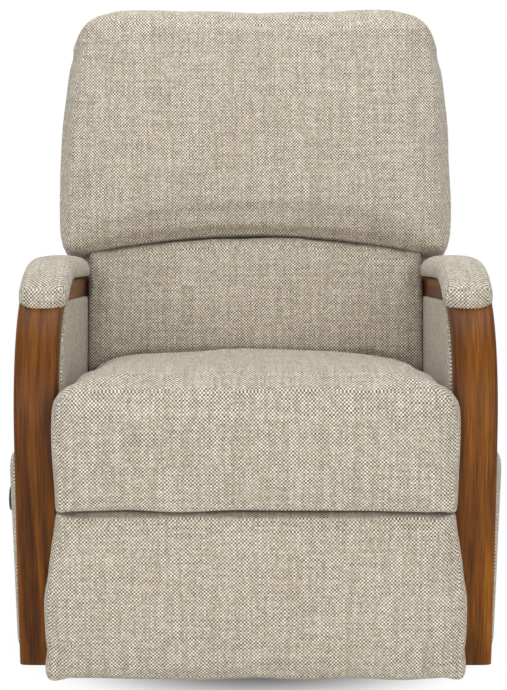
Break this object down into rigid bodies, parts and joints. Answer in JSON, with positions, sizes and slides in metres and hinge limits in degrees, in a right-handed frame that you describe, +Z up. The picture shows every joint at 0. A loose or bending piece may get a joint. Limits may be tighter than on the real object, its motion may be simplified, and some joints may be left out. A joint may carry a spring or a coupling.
{
  "type": "swivel gliding recliner",
  "caption": "Upholstered recliner with bentwood arms that swivels, glides on swing links, leans back and opens a tong-driven footrest with a side lever.",
  "frame": {"origin": "on the floor under the middle of the chair's outline", "axes": "+Z up, the chair faces -Y, +X to the sitter's left side; the lever is on the -X side"},
  "size_m": [0.76, 0.8926, 1.0546],
  "materials": {
    "upholstery": "oatmeal tweed with cream and taupe flecks",
    "bent_wood": "brown stained bentwood, satin lacquer",
    "frame_wood": "raw frame timber and plywood",
    "mechanism_steel": "zinc plated sheet steel",
    "black_steel": "black powder coat",
    "dark_plastic": "matt black",
    "bearing_nylon": "natural nylon"
  },
  "bodies": {
    "floor_base": {"floor_ring": "black_steel", "base_spider": "black_steel", "bearing_lower_race": "mechanism_steel", "bearing_cage": "bearing_nylon"},
    "turntable": {"bearing_upper_race": "mechanism_steel", "glide_cross_front": "black_steel", "glide_cross_rear": "black_steel", "glide_stand_left": "black_steel", "glide_stand_right": "black_steel"},
    "glide_links_front": {"glide_link_front_left": "mechanism_steel", "glide_link_front_right": "mechanism_steel"},
    "glide_links_rear": {"glide_link_rear_left": "mechanism_steel", "glide_link_rear_right": "mechanism_steel"},
    "chassis": {"arm_left": "bent_wood", "arm_right": "bent_wood", "arm_pad_left": "upholstery", "arm_pad_right": "upholstery", "side_panel_left": "upholstery", "side_panel_right": "upholstery", "outer_panel_left": "upholstery", "outer_panel_right": "upholstery", "side_plate_left": "mechanism_steel", "side_plate_right": "mechanism_steel", "cross_rail_front": "frame_wood", "rear_rail": "upholstery"},
    "seat": {"seat_rail_left": "frame_wood", "seat_rail_right": "frame_wood", "seat_rail_front": "frame_wood", "seat_rail_rear": "frame_wood", "seat_spring_1": "mechanism_steel", "seat_spring_2": "mechanism_steel", "seat_spring_3": "mechanism_steel", "seat_cushion": "upholstery"},
    "back": {"back_post_left": "frame_wood", "back_post_right": "frame_wood", "back_hinge_left": "mechanism_steel", "back_hinge_right": "mechanism_steel", "back_rail_top": "frame_wood", "back_rail_bottom": "frame_wood", "head_pillow": "upholstery", "lumbar_cushion": "upholstery", "outer_back": "upholstery"},
    "lever": {"recline_lever": "dark_plastic", "lever_crank": "mechanism_steel"},
    "lever_rod": {"lever_rod": "mechanism_steel"},
    "footrest_drive": {"drive_shaft": "mechanism_steel", "tong_drive_left": "mechanism_steel", "tong_drive_right": "mechanism_steel"},
    "tong_rise": {"tong_rise_left": "mechanism_steel", "tong_rise_right": "mechanism_steel"},
    "tong_reach": {"tong_reach_left": "mechanism_steel", "tong_reach_right": "mechanism_steel"},
    "tong_carry": {"tong_carry_left": "mechanism_steel", "tong_carry_right": "mechanism_steel"},
    "tong_stay": {"tong_stay_left": "mechanism_steel", "tong_stay_right": "mechanism_steel"},
    "footrest": {"footrest_board": "frame_wood", "footrest_pad": "upholstery", "footrest_bracket_left": "mechanism_steel", "footrest_bracket_right": "mechanism_steel"}
  },
  "joints": [
    {"name": "swivel", "type": "hinge", "parent": "floor_base", "child": "turntable", "pos_m": [0, 0.03, 0.048], "axis": [0, 0, 1], "continuous": true},
    {"name": "glide", "type": "hinge", "parent": "turntable", "child": "glide_links_front", "pos_m": [0, -0.07, 0.205], "axis": [1, 0, 0], "range_deg": [-24, 24]},
    {"name": "glide_rear", "type": "hinge", "parent": "turntable", "child": "glide_links_rear", "pos_m": [0, 0.15, 0.205], "axis": [1, 0, 0], "range_deg": [-24.5, 24.5]},
    {"name": "chassis_level", "type": "hinge", "parent": "glide_links_front", "child": "chassis", "pos_m": [0, -0.07, 0.105], "axis": [1, 0, 0], "range_deg": [-24.5, 24.5]},
    {"name": "seat_slide", "type": "slide", "parent": "chassis", "child": "seat", "axis": [0, -0.9903, 0.1392], "range_m": [-0.0002, 0.0302]},
    {"name": "back_recline", "type": "hinge", "parent": "seat", "child": "back", "pos_m": [0, 0.165, 0.332], "axis": [-1, 0, 0], "range_deg": [0, 32]},
    {"name": "lever", "type": "hinge", "parent": "chassis", "child": "lever", "pos_m": [0, -0.1, 0.282], "axis": [-1, 0, 0], "range_deg": [0, 76]},
    {"name": "lever_rod_pivot", "type": "hinge", "parent": "lever", "child": "lever_rod", "pos_m": [0, -0.09376, 0.31134], "axis": [-1, 0, 0], "range_deg": [-76.5, 0.5]},
    {"name": "footrest_shaft", "type": "hinge", "parent": "chassis", "child": "footrest_drive", "pos_m": [0, -0.2293, 0.27609], "axis": [-1, 0, 0], "range_deg": [-0.5, 76.5]},
    {"name": "tong_cross", "type": "hinge", "parent": "footrest_drive", "child": "tong_rise", "pos_m": [0, -0.24905, 0.18316], "axis": [-1, 0, 0], "range_deg": [-122.5, 0.5]},
    {"name": "tong_upper_knee", "type": "hinge", "parent": "tong_rise", "child": "tong_reach", "pos_m": [0, -0.29365, 0.26704], "axis": [-1, 0, 0], "range_deg": [-0.5, 122.5]},
    {"name": "tong_lower_knee", "type": "hinge", "parent": "footrest_drive", "child": "tong_carry", "pos_m": [0, -0.2688, 0.09024], "axis": [-1, 0, 0], "range_deg": [-122.5, 0.5]},
    {"name": "tong_stay_pivot", "type": "hinge", "parent": "tong_reach", "child": "tong_stay", "pos_m": [0, -0.33315, 0.0812], "axis": [-1, 0, 0], "range_deg": [-122.5, 0.5]},
    {"name": "footrest_tilt", "type": "hinge", "parent": "tong_carry", "child": "footrest", "pos_m": [0, -0.358, 0.258], "axis": [-1, 0, 0], "range_deg": [-0.5, 122.5]}
  ],
  "couplings": [
    {"joint": "glide_rear", "follows": "glide", "ratio": 1},
    {"joint": "chassis_level", "follows": "glide", "ratio": -1},
    {"joint": "seat_slide", "follows": "back_recline", "m_per_rad": 0.053715},
    {"joint": "lever_rod_pivot", "follows": "lever", "ratio": -1},
    {"joint": "footrest_shaft", "follows": "lever", "ratio": 1},
    {"joint": "tong_cross", "follows": "lever", "ratio": -1.6053},
    {"joint": "tong_upper_knee", "follows": "lever", "ratio": 1.6053},
    {"joint": "tong_lower_knee", "follows": "lever", "ratio": -1.6053},
    {"joint": "tong_stay_pivot", "follows": "lever", "ratio": -1.6053},
    {"joint": "footrest_tilt", "follows": "lever", "ratio": 1.6053}
  ]
}
